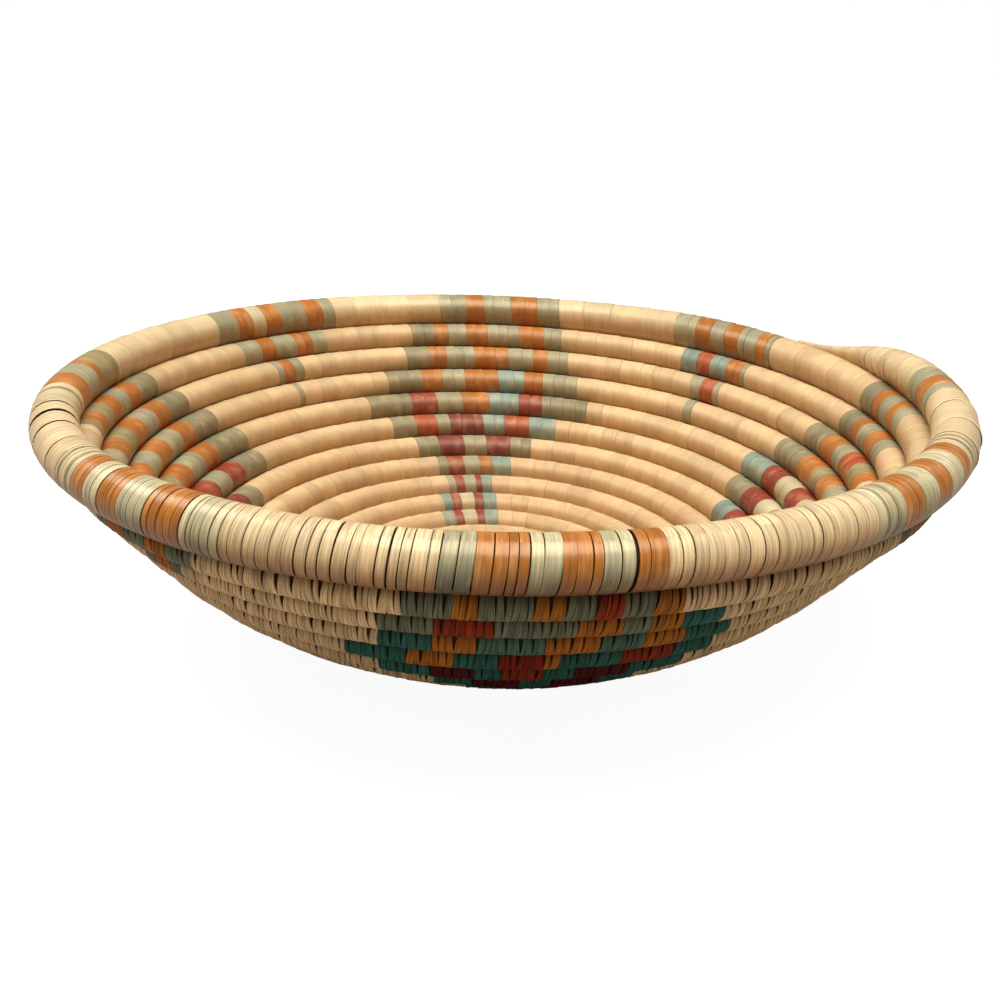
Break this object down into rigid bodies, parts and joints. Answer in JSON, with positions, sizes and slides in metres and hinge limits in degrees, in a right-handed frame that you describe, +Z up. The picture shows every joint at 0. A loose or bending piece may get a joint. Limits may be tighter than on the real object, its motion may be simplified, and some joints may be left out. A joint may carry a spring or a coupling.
{
  "type": "coiled basket bowl",
  "caption": "Shallow round bowl coiled from one bundle in a spiral, sewn with natural and dyed strips in stepped lozenges, with a thick rim coil and a tapered tail.",
  "frame": {"origin": "middle of the outline seen from above, on the surface that the base rests on", "axes": "+Z up out of the bowl, -Y towards the front lozenge, the tail of the last turn at the back right"},
  "size_m": [0.299, 0.2958, 0.0887],
  "materials": {
    "bundle": "matt dry grass",
    "natural_strip": "smooth split cane, slightly glossy",
    "sage_strip": "dyed split cane, slightly glossy",
    "orange_strip": "dyed split cane, slightly glossy"
  },
  "bodies": {
    "root": {"foundation_bundle": "bundle", "rim_natural_tail": "natural_strip", "rim_motif_right": "orange_strip", "rim_natural_before_front_right": "natural_strip", "rim_motif_front_right": "orange_strip", "rim_natural_before_front": "natural_strip", "rim_motif_front": "orange_strip", "rim_natural_before_front_left": "natural_strip", "rim_motif_front_left": "orange_strip", "rim_natural_before_left": "natural_strip", "rim_motif_left": "orange_strip", "rim_natural_before_back_left": "natural_strip", "rim_motif_back_left": "orange_strip", "rim_natural_before_back": "natural_strip", "rim_motif_back": "orange_strip", "rim_natural_before_back_right": "natural_strip", "rim_motif_back_right": "orange_strip", "motif_right": "sage_strip", "motif_front_right": "sage_strip", "motif_front": "sage_strip", "motif_front_left": "sage_strip", "motif_left": "sage_strip", "motif_back_left": "sage_strip", "motif_back": "sage_strip", "motif_back_right": "sage_strip", "natural_front_right": "natural_strip", "natural_front_left": "natural_strip", "natural_back_left": "natural_strip", "natural_back_right": "natural_strip", "base_row_01": "natural_strip", "base_row_02": "natural_strip", "base_row_03": "natural_strip", "base_row_04": "natural_strip", "base_row_05": "natural_strip", "base_row_06": "natural_strip", "base_row_07": "natural_strip", "start_knot": "sage_strip"}
  },
  "joints": []
}
